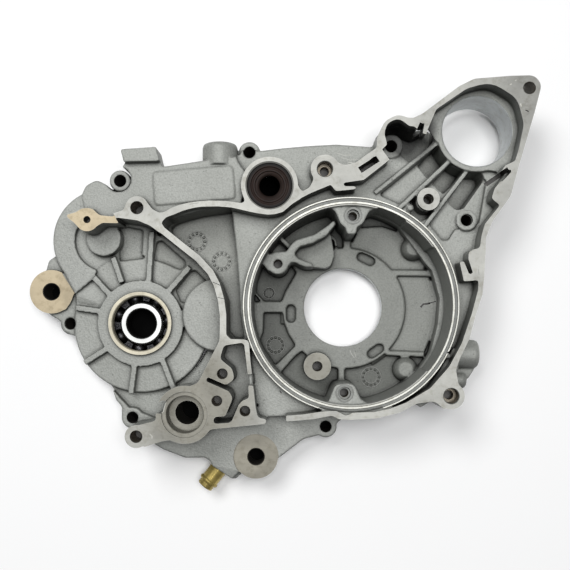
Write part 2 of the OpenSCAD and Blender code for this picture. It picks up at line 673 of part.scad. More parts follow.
module case_solid() {
    prism(0, case_z) base_outline();
    prism(case_z - 4, deck_z) {
        deck_outline();
        exterior_outline();
    }
    prism(case_z - 4, plate_z) plate_outline();
    prism(starter_low, case_z) starter_base_outline();
    prism(0, ring_z) ring_disc();
    prism(plate_z - 4, plate_z + 0.8) shape([[-129.5, 89.6], [-76.5, 94.2], [-74.5, 72.5], [-128, 67.8]], 2.5);
    wall_skirts();
    outer_features();
    gear_front();
    starter_deck();
    starter_socket();
}

module case_hollows() {
    prism(-1, case_z - 5) difference() {
        gear_hollow();
        disc(bearing_c, bearing_od / 2 + 6);
    }
    prism(-1, bearing_low - 3) gear_hollow();
    prism(-1, body_z - 5) lower_hollow();
    prism(-1, pocket_z - 5) pocket_hollow();
    prism(-1, deck_z - 5) upper_hollow();
    prism(-1, plate_z - 5) plate_hollow();
    hole([1, 0], 58, -1, floor_z - 4.5);
    hole(crank, 44.5, -1, web_z - 6);
}

module round_holes() {
    for (b = case_bolts) hole(b, bolt_r, -1, joint_z);
    hole(crank, crank_r, -1, web_z + 1);
    hole(starter_c, starter_r, starter_low - 1, joint_z);
    hole(bearing_c, bearing_od / 2, -1, bearing_top);
    hole(bearing_c, lip_r, 0, hub_z + 5);
    hole(seal_c, seal_od / 2, seal_bottom, joint_z + 1);
    hole(seal_c, seal_od / 2 - 3, -1, joint_z);
    hole(oil_c, 15.4, joint_z - 2, joint_z + 1);
    hole(oil_c, 12.3, joint_z - 17, joint_z + 1);
    hole(oil_c, 8.1, -1, joint_z);
    for (m = [mount_1, mount_2]) hole(m, mount_r, -1, mount_z + 1);
    for (d = [dowel_1, dowel_2]) {
        hole(d, dowel_r, joint_z - 11, joint_z + 1);
        hole(d, dowel_r - 1.8, joint_z - 20, joint_z);
    }
    hole(upper_lug, 4, joint_z - 22, joint_z + 1);
    hole(flat_lug, 2, joint_z - 12, joint_z + 1);
    hole(lower_lug, 3.8, joint_z - 22, joint_z + 1);
    hole(corner_lug, 3.8, 30, joint_z + 1);
    for (p = [[-82.4, -44.9], [-86, -62.8], [-67.4, -69.5]]) hole(p, screw_r, joint_z - 18, joint_z + 1);
    hole([55.8, 72.4], screw_r, deck_z - 14, deck_z + 6);
    hole(post_c, screw_r, web_z, web_z + 20);
    hole([-45.8, 29], 3, fork_z() - 16, fork_z() + 1);
    for (c = chamber_lugs) {
        hole(c, 6, lug_z() - 0.8, lug_z() + 1);
        hole(c, 4.4, lug_z() - 5, lug_z() + 1);
        hole(c, 3, lug_z() - 18, lug_z() + 1);
    }
    translate([nipple_at.x, nipple_at.y, nipple_z]) rotate([0, 90, nipple_angle])
        translate([0, 0, -11]) cylinder(r = nipple_od / 2, h = 24);
    translate([nipple_at.x, nipple_at.y, nipple_z]) rotate([0, 90, nipple_angle])
        translate([0, 0, -30]) cylinder(r = nipple_od / 2 - nipple_wall, h = 30);
}

module crankcase_half() {
    color([0.66, 0.67, 0.66]) placed() difference() {
        union() {
            difference() {
                case_solid();
                hole(ring_c, chamber_r, floor_z, joint_z + 1);
                hole(ring_c, chamber_r + 1.1, ring_z - 0.8, joint_z + 1);
                ring_groove();
                ring_windows();
                prism(pocket_z, joint_z - 1) tapered_pocket();
                prism(28, joint_z + 1) oil_passage();
                gear_sinks();
                starter_pockets();
                case_hollows();
            }
            chamber_floor();
            hole(bearing_c, bearing_od / 2 + 4.5, bearing_low - 3, case_z - 2);
            hole(bearing_c, lip_r + 2.8, hub_z - 4, hub_z + 2.5);
        }
        round_holes();
        prism(-1, web_z + 1) {
            slot([13.4, 36], [19.8, 33], 6.5);
            slot([-36.9, -7.5], [-36.9, -1.1], 6.5);
            slot([20.7, -32.9], [26.1, -29.1], 6.5);
        }
        prism(joint_z - 8, joint_z + 1) {
            slot([10.5, 90.4], [18.3, 97.1], 3.2);
            bar([44.6, 109.6], [50.8, 120.3], 1.8);
            slot([102, 83.2], [107.4, 88.9], 2.4);
        }
    }
}

// Ball bearing
module at_bearing(z = 0) {
    placed() translate([bearing_c.x, bearing_c.y, z]) children();
}

module race(inner, outer, groove) {
    e = 0.9;
    rotate_extrude() difference() {
        polygon([[inner + e, 0], [outer - e, 0], [outer, e], [outer, bearing_w - e],
            [outer - e, bearing_w], [inner + e, bearing_w], [inner, bearing_w - e], [inner, e]]);
        translate([groove, bearing_w / 2]) circle(groove_r);
    }
}

slack = groove_r - ball_d / 2 - ball_play;
land = ball_d * 0.35;

module bearing_outer_race() {
    color([0.8, 0.81, 0.83]) at_bearing(bearing_low)
        race(pitch_r + land, bearing_od / 2, pitch_r - slack);
}

module bearing_inner_race() {
    color([0.86, 0.87, 0.88]) at_bearing(bearing_low)
        race(bearing_bore / 2, pitch_r - land, pitch_r + slack);
}

module ball(i) {
    color([0.9, 0.9, 0.92]) at_bearing(bearing_low + bearing_w / 2)
        rotate([0, 0, 5 + 360 / ball_count * (i - 1)]) translate([pitch_r, 0, 0]) sphere(d = ball_d);
}

// Each cage half is a thin ribbon with a rounded cup over every ball
cage_t = 0.8;
cage_gap = 0.15;

module cage_half() {
    difference() {
        intersection() {
            union() {
                prism(0, cage_t) difference() {
                    circle(pitch_r + 2);
                    circle(pitch_r - 2);
                }
                for (i = [0:ball_count - 1]) rotate([0, 0, 5 + 360 / ball_count * i])
                    translate([pitch_r, 0, 0]) sphere(r = ball_d / 2 + cage_gap + cage_t);
            }
            prism(0, ball_d) difference() {
                circle(pitch_r + 2);
                circle(pitch_r - 2);
            }
        }
        for (i = [0:ball_count - 1]) rotate([0, 0, 5 + 360 / ball_count * i])
            translate([pitch_r, 0, 0]) sphere(r = ball_d / 2 + cage_gap);
        for (i = [0:ball_count - 1]) rotate([0, 0, 5 + 360 / ball_count * (i + 0.5)])
            translate([pitch_r, 0, -1]) cylinder(r = rivet_r, h = 4);
    }
}

rivet_r = 0.7;

module cage_upper() {
    color([0.55, 0.55, 0.56]) at_bearing(bearing_low + bearing_w / 2) cage_half();
}

module cage_lower() {
    color([0.5, 0.5, 0.52]) at_bearing(bearing_low + bearing_w / 2) mirror([0, 0, 1]) cage_half();
}

module cage_rivets() {
    color([0.7, 0.7, 0.72]) at_bearing(bearing_low + bearing_w / 2) for (i = [0:ball_count - 1])
        rotate([0, 0, 5 + 360 / ball_count * (i + 0.5)]) translate([pitch_r, 0, 0]) rotate_extrude()
            polygon([[0, -cage_t - 0.5], [0.9, -cage_t - 0.5], [1.2, -cage_t - 0.3], [1.2, -cage_t],
                [rivet_r, -cage_t], [rivet_r, cage_t], [1.2, cage_t], [1.2, cage_t + 0.3],
                [0.9, cage_t + 0.5], [0, cage_t + 0.5]]);
}

spring_t = 0.6;

// Oil seal with its outer wall, sunk face, dust lip and sealing lip, and the coil spring behind the lip
module oil_seal() {
    so = seal_od / 2;
    sl = seal_lip_d / 2;
    color([0.23, 0.15, 0.13]) placed() translate([seal_c.x, seal_c.y, seal_bottom]) rotate_extrude() difference() {
        polygon([[so, 0], [so, seal_w - 0.5], [so - 0.5, seal_w], [so - 2.4, seal_w], [so - 2.9, seal_w - 1],
            [sl + 4.4, seal_w - 1.2], [sl + 3.9, seal_w - 0.5], [sl + 3, seal_w - 0.5],
            [sl + 2.6, seal_w - 1.5], [sl + 1, seal_w - 1.1], [sl, seal_w - 1.6], [sl + 0.5, seal_w - 2.4],
            [sl + 1.2, 3.6], [sl, 2.6], [sl + 0.9, 0.8], [sl + 1.8, 0.8], [sl + 1.8, 1.5],
            [sl + 3, 1.5], [sl + 3, 3.6], [sl + 3.6, 4.4], [so - 1.4, 4.4], [so - 1.4, 0]]);
        translate([sl + 3.1, 2.5]) circle(r = spring_t + 0.05);
    }
}

module seal_spring() {
    color([0.75, 0.76, 0.78]) placed() translate([seal_c.x, seal_c.y, seal_bottom + 2.5]) rotate_extrude()
        translate([seal_lip_d / 2 + 3.1, 0]) circle(r = spring_t);
}

// Hose nipple: pressed tube with a bead near its tip
module hose_nipple() {
    r = nipple_od / 2;
    l = nipple_len;
    color([0.72, 0.62, 0.3]) placed() translate([nipple_at.x, nipple_at.y, nipple_z]) rotate([0, 90, nipple_angle])
        rotate_extrude() polygon([[r - nipple_wall, -11], [r, -11], [r, l * 0.62], [r + 0.6, l * 0.66],
            [r + 0.9, l * 0.71], [r + 0.6, l * 0.76], [r - 0.5, l * 0.8], [r - 0.5, l - 0.6], [r - 0.9, l],
            [r - nipple_wall, l]]);
}

crankcase_half();
bearing_outer_race();
bearing_inner_race();
ball(1);  // ball_1
ball(2);  // ball_2
ball(3);  // ball_3
ball(4);  // ball_4
ball(5);  // ball_5
ball(6);  // ball_6
ball(7);  // ball_7
cage_upper();
cage_lower();
cage_rivets();
oil_seal();
seal_spring();
hose_nipple();
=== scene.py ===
# %% [markdown]
# # An engine's crankcase half
# The part is one light-alloy die casting with a ball bearing, an oil seal and a hose nipple fitted.
# This script dresses the fixed solids. It works the way the real part is made: first a rough casting with
# soft edges is made from the solid, then every machined face and bore is cut into it with its own bright metal.

# %%
# Load the fixed solids
import math

import bmesh
import bpy
from mathutils import Matrix, Vector


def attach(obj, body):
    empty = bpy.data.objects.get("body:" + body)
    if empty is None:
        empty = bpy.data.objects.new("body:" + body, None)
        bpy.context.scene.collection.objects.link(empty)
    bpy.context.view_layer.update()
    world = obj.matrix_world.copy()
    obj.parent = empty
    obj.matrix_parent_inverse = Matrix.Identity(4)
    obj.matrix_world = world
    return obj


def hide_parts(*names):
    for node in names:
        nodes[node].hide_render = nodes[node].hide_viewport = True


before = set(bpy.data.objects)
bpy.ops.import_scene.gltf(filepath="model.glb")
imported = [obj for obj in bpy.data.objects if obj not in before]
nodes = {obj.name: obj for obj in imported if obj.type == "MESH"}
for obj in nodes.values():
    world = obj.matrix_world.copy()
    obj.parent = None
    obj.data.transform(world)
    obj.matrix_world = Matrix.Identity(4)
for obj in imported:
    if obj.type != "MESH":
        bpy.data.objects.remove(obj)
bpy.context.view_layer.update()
print("nodes:", sorted(nodes))

# %% [markdown]
# ## Measures
# All places are written in millimetres from the crankshaft's axis, as on a drawing, and `at` turns them
# into metres from the middle of the part's plan.

# %%
# Places and heights, in millimetres
MIDDLE = (-45.6, 10.92)
JOINT, RING, DECK, HUB, MOUNT, WEB = 60.0, 57.0, 42.0, 31.0, 26.0, 13.0
CRANK, RING_C, BEARING, SEAL = (0, 0), (2.9, 0.5), (-141.2, -11.4), (-51.2, 79.6)
STARTER, OIL, POST, PILLAR = (89, 118.4), (-107.4, -72), (-18.6, -41.2), (55.8, 72.4)
MOUNTS = [(-204, 10.7), (-61.3, -104.3)]
DOWELS = [(-14.6, 90.4), (68.9, -59.6)]
CHAMBER_LUGS = [(4.4, 60.2), (-1.3, -58.1)]
FORK = (-45.8, 29)


def at(x, y, z=0.0):
    return Vector(((x - MIDDLE[0]) / 1000, (y - MIDDLE[1]) / 1000, z / 1000))


def obj_from(name, mesh):
    obj = bpy.data.objects.new(name, mesh)
    bpy.context.scene.collection.objects.link(obj)
    return obj


# %% [markdown]
# ## Materials
# Each finish is a small tree of nodes on a Principled shader. Object coordinates are metres here, so a
# noise scale of 1000 makes grains of a millimetre.

# %%
# Helpers for shader trees


def new_material(name, color, metallic, rough):
    mat = bpy.data.materials.new(name)
    mat.use_nodes = True
    shader = mat.node_tree.nodes["Principled BSDF"]
    shader.inputs["Base Color"].default_value = (*color, 1)
    shader.inputs["Metallic"].default_value = metallic
    shader.inputs["Roughness"].default_value = rough
    mat.diffuse_color = (*color, 1)
    return mat, mat.node_tree, shader


def add(tree, kind, inputs=None, **settings):
    node = tree.nodes.new(kind)
    for k, v in settings.items():
        setattr(node, k, v)
    for k, v in (inputs or {}).items():
        node.inputs[k].default_value = v
    return node


def noise(tree, coord, scale, detail=3.0, rough=0.5, stretch=None):
    source = coord.outputs["Object"]
    if stretch:
        mapping = add(tree, "ShaderNodeMapping", {"Scale": stretch})
        tree.links.new(source, mapping.inputs["Vector"])
        source = mapping.outputs["Vector"]
    n = add(tree, "ShaderNodeTexNoise", {"Scale": scale, "Detail": detail, "Roughness": rough})
    tree.links.new(source, n.inputs["Vector"])
    return n


def ramp(tree, source, stops):
    r = add(tree, "ShaderNodeValToRGB")
    while len(r.color_ramp.elements) < len(stops):
        r.color_ramp.elements.new(0.5)
    for e, (p, c) in zip(r.color_ramp.elements, stops):
        e.position, e.color = p, (*c, 1)
    tree.links.new(source, r.inputs["Fac"])
    return r


def bump(tree, shader, height, strength, distance):
    b = add(tree, "ShaderNodeBump", {"Strength": strength, "Distance": distance})
    tree.links.new(height, b.inputs["Height"])
    tree.links.new(b.outputs["Normal"], shader.inputs["Normal"])
    return b


# %%
# Cast skin and machined metal, with painted shade in their inner corners and recesses and lighter edges that are
# painted highlight with some edge wear


def corners(tree, reach, low, high, inside=False):
    near = add(tree, "ShaderNodeAmbientOcclusion", {"Distance": reach / 1000}, samples=6, inside=inside, only_local=True)
    span = add(tree, "ShaderNodeMapRange", {"From Min": high, "From Max": low})
    tree.links.new(near.outputs["AO"], span.inputs["Value"])
    return span.outputs["Result"]


def below(tree, coord, high, low):
    parts = add(tree, "ShaderNodeSeparateXYZ")
    tree.links.new(coord.outputs["Object"], parts.inputs[0])
    span = add(tree, "ShaderNodeMapRange", {"From Min": high / 1000, "From Max": low / 1000})
    tree.links.new(parts.outputs["Z"], span.inputs["Value"])
    return span.outputs["Result"]


def facing(tree, coord, way, low, high):
    lean = add(tree, "ShaderNodeVectorMath", {1: way}, operation="DOT_PRODUCT")
    tree.links.new(coord.outputs["Normal"], lean.inputs[0])
    span = add(tree, "ShaderNodeMapRange", {"From Min": low, "From Max": high})
    tree.links.new(lean.outputs["Value"], span.inputs["Value"])
    return span.outputs["Result"]


def blend(tree, kind, amount, first, second):
    mix = add(tree, "ShaderNodeMix", data_type="RGBA", blend_type=kind)
    for socket, value in zip([mix.inputs[0], mix.inputs[6], mix.inputs[7]], [amount, first, second]):
        if isinstance(value, bpy.types.NodeSocket):
            tree.links.new(value, socket)
        else:
            socket.default_value = (*value, 1) if isinstance(value, tuple) else value
    return mix.outputs[2]


def scaled(tree, source, factor):
    m = add(tree, "ShaderNodeMath", {1: factor}, operation="MULTIPLY", use_clamp=True)
    tree.links.new(source, m.inputs[0])
    return m.outputs[0]


def spot(tree, coord, place, reach, soft):
    away = add(tree, "ShaderNodeVectorMath", {1: at(*place)}, operation="DISTANCE")
    tree.links.new(coord.outputs["Object"], away.inputs[0])
    fade = add(tree, "ShaderNodeMapRange", {"From Min": (reach + soft) / 1000, "From Max": reach / 1000})
    tree.links.new(away.outputs["Value"], fade.inputs["Value"])
    return fade.outputs["Result"]


def cast_skin():
    mat, tree, shader = new_material("cast_skin", (0.30, 0.31, 0.295), 0.3, 0.58)
    coord = add(tree, "ShaderNodeTexCoord")
    cloud = noise(tree, coord, 28.0, 4.0)
    tone = ramp(tree, cloud.outputs["Fac"], [(0.3, (0.285, 0.293, 0.272)), (0.7, (0.335, 0.343, 0.322))])
    speck = noise(tree, coord, 420.0, 2.0, 0.7)
    pits = ramp(tree, speck.outputs["Fac"], [(0.27, (0.55, 0.55, 0.54)), (0.36, (1.0, 1.0, 1.0))])
    color = blend(tree, "MULTIPLY", 0.8, tone.outputs["Color"], pits.outputs["Color"])
    grain = noise(tree, coord, 900.0, 2.0)
    sand = ramp(tree, grain.outputs["Fac"], [(0.38, (0.84, 0.84, 0.84)), (0.62, (1.0, 1.0, 1.0))])
    color = blend(tree, "MULTIPLY", 1.0, color, sand.outputs["Color"])
    # Position spots: the chamber, the pockets by the starter and two low areas at the chamber's left are darkened as
    # painted shade; the right deck and the flank boss are lightened as painted light
    for place, reach, soft, tint in [((*RING_C, 8), 60, 8, (0.68, 0.685, 0.675)), ((84, 0, 14), 12, 9, (1.3, 1.3, 1.3)), ((88, -30, 15), 11, 6, (1.4, 1.4, 1.4)), ((43, 118, 32), 19, 5, (0.16, 0.16, 0.16)), ((14.4, 93.4, 32), 9, 3, (0.12, 0.12, 0.12)),
                                     ((107, 136, 42), 29, 6, (0.66, 0.665, 0.655)), ((-96, 44, 12), 34, 10, (0.84, 0.84, 0.83)), ((-62, -10, 10), 36, 8, (0.84, 0.84, 0.84))]:
        color = blend(tree, "MULTIPLY", spot(tree, coord, place, reach, soft), color, tint)
    # Floors below about 10 mm inside the chamber are darkened: painted shade
    sunk = add(tree, "ShaderNodeMath", operation="MULTIPLY")
    tree.links.new(below(tree, coord, 10.5, 8.6), sunk.inputs[0])
    tree.links.new(spot(tree, coord, (*RING_C, 8), 68, 2), sunk.inputs[1])
    color = blend(tree, "MULTIPLY", sunk.outputs[0], color, (0.52, 0.525, 0.515))
    # Darkening within 12 mm of surrounding surfaces, from an occlusion node: painted shade in recesses
    color = blend(tree, "MULTIPLY", corners(tree, 12.0, 0.2, 0.75), color, (0.5, 0.5, 0.49))
    # Surfaces facing -Y are darkened: painted shade on that side
    color = blend(tree, "MULTIPLY", facing(tree, coord, (0.2, -0.98, 0), 0.15, 0.85), color, (0.42, 0.425, 0.42))
    # Narrow darkening within 3.2 mm: painted shade in creases and at the feet of ribs
    color = blend(tree, "MULTIPLY", corners(tree, 3.2, 0.48, 0.96), color, (0.13, 0.13, 0.125))
    # Convex edges are lightened: painted highlight with some edge wear
    color = blend(tree, "MIX", scaled(tree, corners(tree, 0.7, 0.3, 0.75, inside=True), 0.35), color, (0.55, 0.55, 0.53))
    tree.links.new(color, shader.inputs["Base Color"])
    bump(tree, shader, grain.outputs["Fac"], 0.6, 0.0004)
    return mat


def machined(name, color, rough, streaks, spots=(), metallic=0.4, edge_light_and_wear=0.35, pitch=0.0):
    mat, tree, shader = new_material(name, color, metallic, rough)
    coord = add(tree, "ShaderNodeTexCoord")
    stain = noise(tree, coord, 45.0, 5.0, 0.6)
    dark = tuple(c * 0.7 for c in color)
    tone = ramp(tree, stain.outputs["Fac"], [(0.3, dark), (0.6, color)])
    blot = noise(tree, coord, 240.0, 4.0, 0.65)
    fleck = ramp(tree, blot.outputs["Fac"], [(0.33, (0.62, 0.6, 0.54)), (0.5, (1.0, 1.0, 1.0))])
    paint = blend(tree, "MULTIPLY", 0.55, tone.outputs["Color"], fleck.outputs["Color"])
    for place, reach, soft, tint in spots:
        paint = blend(tree, "MULTIPLY", spot(tree, coord, place, reach, soft), paint, tint)
    # Darkening in inner corners from an occlusion node: painted shade
    paint = blend(tree, "MULTIPLY", scaled(tree, corners(tree, 1.6, 0.4, 0.85), 0.6), paint, (0.3, 0.3, 0.28))
    # Lighter convex edges: painted highlight with some edge wear
    paint = blend(tree, "MIX", scaled(tree, corners(tree, 0.5, 0.3, 0.75, inside=True), edge_light_and_wear), paint, (0.7, 0.7, 0.66))
    tree.links.new(paint, shader.inputs["Base Color"])
    lines = noise(tree, coord, 260.0, 2.0, 0.6, stretch=streaks)
    bump(tree, shader, lines.outputs["Fac"], 0.18, 0.0003)
    if pitch:
        thread = add(tree, "ShaderNodeTexWave", {"Scale": math.pi / 10 / pitch, "Distortion": 0.0}, bands_direction="Z")
        tree.links.new(coord.outputs["Object"], thread.inputs["Vector"])
        bump(tree, shader, thread.outputs["Fac"], 1.0, 0.0006)
    return mat


CAST = cast_skin()
FACE = machined("machined_face", (0.345, 0.345, 0.32), 0.5, (1, 6, 1), [
    ((-100, -62, JOINT), 26, 24, (0.6, 0.58, 0.53)), ((118, 140, JOINT), 10, 22, (0.7, 0.7, 0.7)),
    ((-61.3, -104.3, MOUNT), 18, 2, (0.7, 0.66, 0.58)), ((-18.6, -41.2, WEB + 16), 11, 2, (0.62, 0.6, 0.55))])
WARM = machined("machined_warm", (0.40, 0.335, 0.225), 0.52, (1, 1, 1), [((*BEARING, HUB + 2), 23, 2, (1.35, 1.5, 1.75))])
BORE = machined("machined_bore", (0.55, 0.58, 0.585), 0.36, (1, 1, 12))
# Near-black for deep holes, the crack, nicks and the deep slots: painted shade
DARK = machined("painted_shade_black", (0.035, 0.032, 0.027), 0.5, (1, 1, 1), metallic=0.0, edge_light_and_wear=0.0)
# Lighter, glossier copy of the machined metal for the ring's chamfers and a few nicks: its lighter colour is painted
# highlight
BRIGHT = machined("highlight_metal", (0.42, 0.42, 0.385), 0.42, (1, 1, 1), metallic=0.5)
# Dark grey copy of the machined metal for the ring's groove, counterbores and nicks: painted shade
GROOVE_SHADE = machined("groove_shade_grey", (0.17, 0.175, 0.165), 0.5, (1, 1, 1), metallic=0.3, edge_light_and_wear=0.0)
THREAD = machined("threaded_hole", (0.135, 0.115, 0.085), 0.4, (1, 1, 1), metallic=0.5, edge_light_and_wear=0.0, pitch=0.00125)
# Darker copy for the date marks, which shows them as dark outlines: painted shade
PRESSED = machined("pressed_mark", (0.12, 0.122, 0.116), 0.6, (1, 1, 1), metallic=0.2, edge_light_and_wear=0.0)
METALS = [FACE, WARM, BORE, DARK, BRIGHT, GROOVE_SHADE, THREAD]
print("materials:", CAST.name, [m.name for m in METALS])

# %% [markdown]
# ## Drill table
# Every round hole is written once, as its place and a profile of radius and height from the bottom up. The
# rough casting has its holes plugged, and the same table drills them again, so each wall is a clean cut in its own
# material. Walls in the BLACK slot are near-black: painted shade.

# %%
# Holes: place, profile from the bottom up, material slot, number of sides
METAL, CHAMPAGNE, BORED, BLACK, SHINE, SHADE_GREY, SCREW = range(7)


def drilled(r, low, high, edge=0.4):
    return [(r, low), (r, high - edge), (r + edge + 0.6, high + 0.6)]


def screwed(r, low, high):
    return [(r, low, SCREW), (r, high - 0.4), (r + 1, high + 0.6)]


HOLES = [
    (STARTER, drilled(23.6, 8.4, 45, 0.6), BORED, 128),
    (CRANK, drilled(27.7, 4.4, WEB, 0.3), BORED, 128),
    (BEARING, [(26, -0.6), (26, 26), (19, 26), (19, HUB + 1.9), (20.2, HUB + 3.1)], CHAMPAGNE, 128),
    (SEAL, [(12.1, -0.6, BLACK), (12.1, 51.8), (15.1, 51.8), (15.1, JOINT - 0.9), (16.6, JOINT + 0.6)], METAL, 96),
    (OIL, [(8.1, -0.6, BLACK), (8.1, 43), (12.3, 43), (12.3, 57.6), (12.7, 58), (15.4, 58), (15.4, JOINT + 0.6)],
     METAL, 96),
]
for place in MOUNTS:
    HOLES.append((place, drilled(5.6, -0.6, MOUNT, 0.6), BLACK, 48))
for place in DOWELS:
    HOLES.append((place, [(3.2, 40, SCREW), (3.2, JOINT - 11, SCREW), (5, JOINT - 11, SCREW), (5, JOINT - 0.5, SHADE_GREY),
                          (6.1, JOINT + 0.6)], BLACK, 48))
for place in [(-82.4, -44.9), (-86, -62.8), (-67.4, -69.5)]:
    HOLES.append((place, screwed(3.2, 42, JOINT), BLACK, 32))
for place, r in [((-138.8, 64.8), 4), ((-139.3, -86.4), 3.8), ((120.5, 143.9), 3.8)]:
    HOLES.append((place, screwed(r, 38, JOINT), BLACK, 40))
HOLES.append(((-172.1, 57.1), drilled(2, 48, JOINT - 1.5), BLACK, 24))
HOLES.append((PILLAR, screwed(3.2, DECK - 14, DECK + 5), BLACK, 32))
HOLES.append((POST, screwed(3.2, WEB, WEB + 16), BLACK, 32))
HOLES.append((FORK, screwed(3, DECK - 16, DECK), BLACK, 32))
for place in CHAMBER_LUGS:
    HOLES.append((place, [(3, 37, SCREW), (3, RING - 7, SHADE_GREY), (4.4, RING - 7, SHADE_GREY), (4.4, RING - 2.8, SHADE_GREY),
                          (6, RING - 2.8, SHADE_GREY), (6, RING - 1.4)], BLACK, 48))
BOLTS = [((31.1, 108.8), 43), ((82.2, 58.6), 44), ((-191.3, -11.6), 21), ((-147.5, -77), 26),
         ((-12.7, -83.3), 26), ((-65.3, 105.1), 40), ((-153, 85.3), 43)]
for place, top in BOLTS:
    HOLES.append((place, drilled(4.1, -0.6, top, 0.3), BLACK, 40))
print("holes:", len(HOLES))

# %% [markdown]
# ## The rough casting
# A casting has a rounded edge everywhere. The solid is copied, its machined faces get 1.5 mm of spare metal,
# its holes are plugged, and a voxel remesh with a few smoothing passes melts all edges into small fillets.

# %%
# Make solids of revolution and flat slabs


def lathe(work, place, profile, slot=0, parts=96):
    profile = [(0, profile[0][1])] + profile + [(0, profile[-1][1])]
    rows = []
    for r, z, *own in profile:
        ring = []
        for k in range(parts if r > 0 else 1):
            a = 2 * math.pi * k / parts
            ring.append(work.verts.new(at(place[0], place[1], z) + Vector((math.cos(a), math.sin(a), 0)) * r / 1000))
        rows.append((ring, own[0] if own else slot))
    for (low, own), (high, other) in zip(rows, rows[1:]):
        for k in range(parts):
            corners = [low[k % len(low)], low[(k + 1) % len(low)], high[(k + 1) % len(high)], high[k % len(high)]]
            unique = list(dict.fromkeys(corners))
            if len(unique) > 2:
                work.faces.new(unique).material_index = own


def ring_cut(work, place, profile, parts):
    rows = []
    for r, z, slot in profile:
        ring = []
        for k in range(parts):
            a = 360 * k / parts
            inner = 253 < a < 287 and r > 70
            reach = 70 + (r - 70) * 0.15 if inner else r
            ring.append(work.verts.new(at(place[0], place[1], z)
                                       + Vector((math.cos(math.radians(a)), math.sin(math.radians(a)), 0)) * reach / 1000))
        rows.append(ring)
    for low, high, (r, z, slot) in zip(rows, rows[1:] + rows[:1], profile):
        for k in range(parts):
            j = (k + 1) % parts
            work.faces.new([low[k], low[j], high[j], high[k]]).material_index = slot


def slab(work, outline, low, high, slot=0):
    top = [work.verts.new(at(x, y, high)) for x, y in outline]
    base = [work.verts.new(at(x, y, low)) for x, y in outline]
    n = len(outline)
    work.faces.new(top).material_index = slot
    work.faces.new(base[::-1]).material_index = slot
    for k in range(n):
        work.faces.new([top[k], base[k], base[(k + 1) % n], top[(k + 1) % n]]).material_index = slot


def strip(path, width, over=0.0):
    points = [Vector(q) for q in path]
    ends = (points[0] - points[1]).normalized() * over, (points[-1] - points[-2]).normalized() * over
    points[0], points[-1] = points[0] + ends[0], points[-1] + ends[1]
    sides = []
    for k, q in enumerate(points):
        way = (points[min(k + 1, len(points) - 1)] - points[max(k - 1, 0)]).normalized()
        sides.append(Vector((-way.y, way.x)) * width / 2)
    left = [tuple(q + v) for q, v in zip(points, sides)]
    right = [tuple(q - v) for q, v in zip(points, sides)]
    return left + right[::-1]


# %%
# Copy the solid, raise the faces that will be milled and plug the holes
SPARE = 1.5
RAISED = [
    (None, 0, JOINT),
    ((-172, 57), 34, JOINT - 1.5),
    (RING_C, 73, RING),
    (BEARING, 22, HUB + 2.5),
    (PILLAR, 8, DECK + 5),
    (POST, 10, WEB + 16),
    (MOUNTS[0], 18, MOUNT),
    (MOUNTS[1], 16, MOUNT),
]


def raised(co):
    for place, reach, level in RAISED:
        if abs(co.z * 1000 - level) > 0.02:
            continue
        if place is None or (Vector((co.x, co.y)) - at(*place).xy).length * 1000 < reach:
            return True
    return False


blank = nodes["crankcase_half"].data.copy()
blank.materials.clear()
work = bmesh.new()
work.from_mesh(blank)
bmesh.ops.remove_doubles(work, verts=work.verts, dist=2e-6)
count = 0
for v in work.verts:
    if raised(v.co):
        v.co.z += SPARE / 1000
        count += 1
    elif abs(v.co.z) < 2e-5:
        v.co.z -= SPARE / 1000
for place, profile, slot, parts in HOLES:
    low, high = profile[0][1] + 1.2, profile[-1][1] - 1.6
    lathe(work, place, [(p[0] - 0.2, min(max(p[1], low), high)) for p in profile], 0, parts)
for a, b in [((13.4, 36), (19.8, 33)), ((-36.9, -7.5), (-36.9, -1.1)), ((20.7, -32.9), (26.1, -29.1))]:
    slab(work, strip([a, b], 14, 4), 7, 9.5)
lathe(work, (67.6, -33.5), [(1.7, 46), (1.7, RING - 0.3), (1.0, RING + 0.3)], 0, 24)
lathe(work, (44, 67), [(2.6, 39), (2.6, DECK + 0.6), (1.6, DECK + 1.6)], 0, 24)
slab(work, strip([(52.8, 121.5), (51.2, 113.6)], 2.6), 40, JOINT + 1.4)
slab(work, [(44, -64), (50, -68), (62, -61), (71, -53), (75.5, -42), (76, -30), (72, -28), (62, -44), (54, -56)], 9, 50)
slab(work, [(70, -50), (88, -50), (92, -44), (90, -24), (84, -18), (76, -10), (66, -20)], 9, 20)
slab(work, [(24, 100), (22, 118), (30, 126), (46, 125), (58, 126), (70, 118), (66, 100)], 9, 15)
bmesh.ops.recalc_face_normals(work, faces=work.faces)
work.to_mesh(blank)
work.free()
casting = obj_from("crankcase_casting", blank)
print("raised", count, "of", len(blank.vertices), "corners")

# %%
# Melt the edges, then thin the mesh out


def apply_modifiers(obj):
    graph = bpy.context.evaluated_depsgraph_get()
    graph.update()
    mesh = bpy.data.meshes.new_from_object(obj.evaluated_get(graph))
    obj.modifiers.clear()
    old, obj.data = obj.data, mesh
    bpy.data.meshes.remove(old)
    return mesh


melt = casting.modifiers.new("melt", "REMESH")
melt.mode, melt.voxel_size = "VOXEL", 0.00062
soften = casting.modifiers.new("soften", "SMOOTH")
soften.factor, soften.iterations = 0.5, 6
mesh = apply_modifiers(casting)
print("melted casting:", len(mesh.polygons), "faces")
thin = casting.modifiers.new("thin", "DECIMATE")
thin.ratio = 150000 / (2 * len(mesh.polygons))
mesh = apply_modifiers(casting)
mesh.materials.append(CAST)
print("thinned casting:", len(mesh.polygons), "faces")

# %% [markdown]
# ## Machining
# Cutters are slabs and solids of revolution. A Boolean difference takes each one away, and the faces that it
# leaves get the cutter's own material, so bright metal ends exactly where the tool stopped.

# %%
# Cut with one set of tools


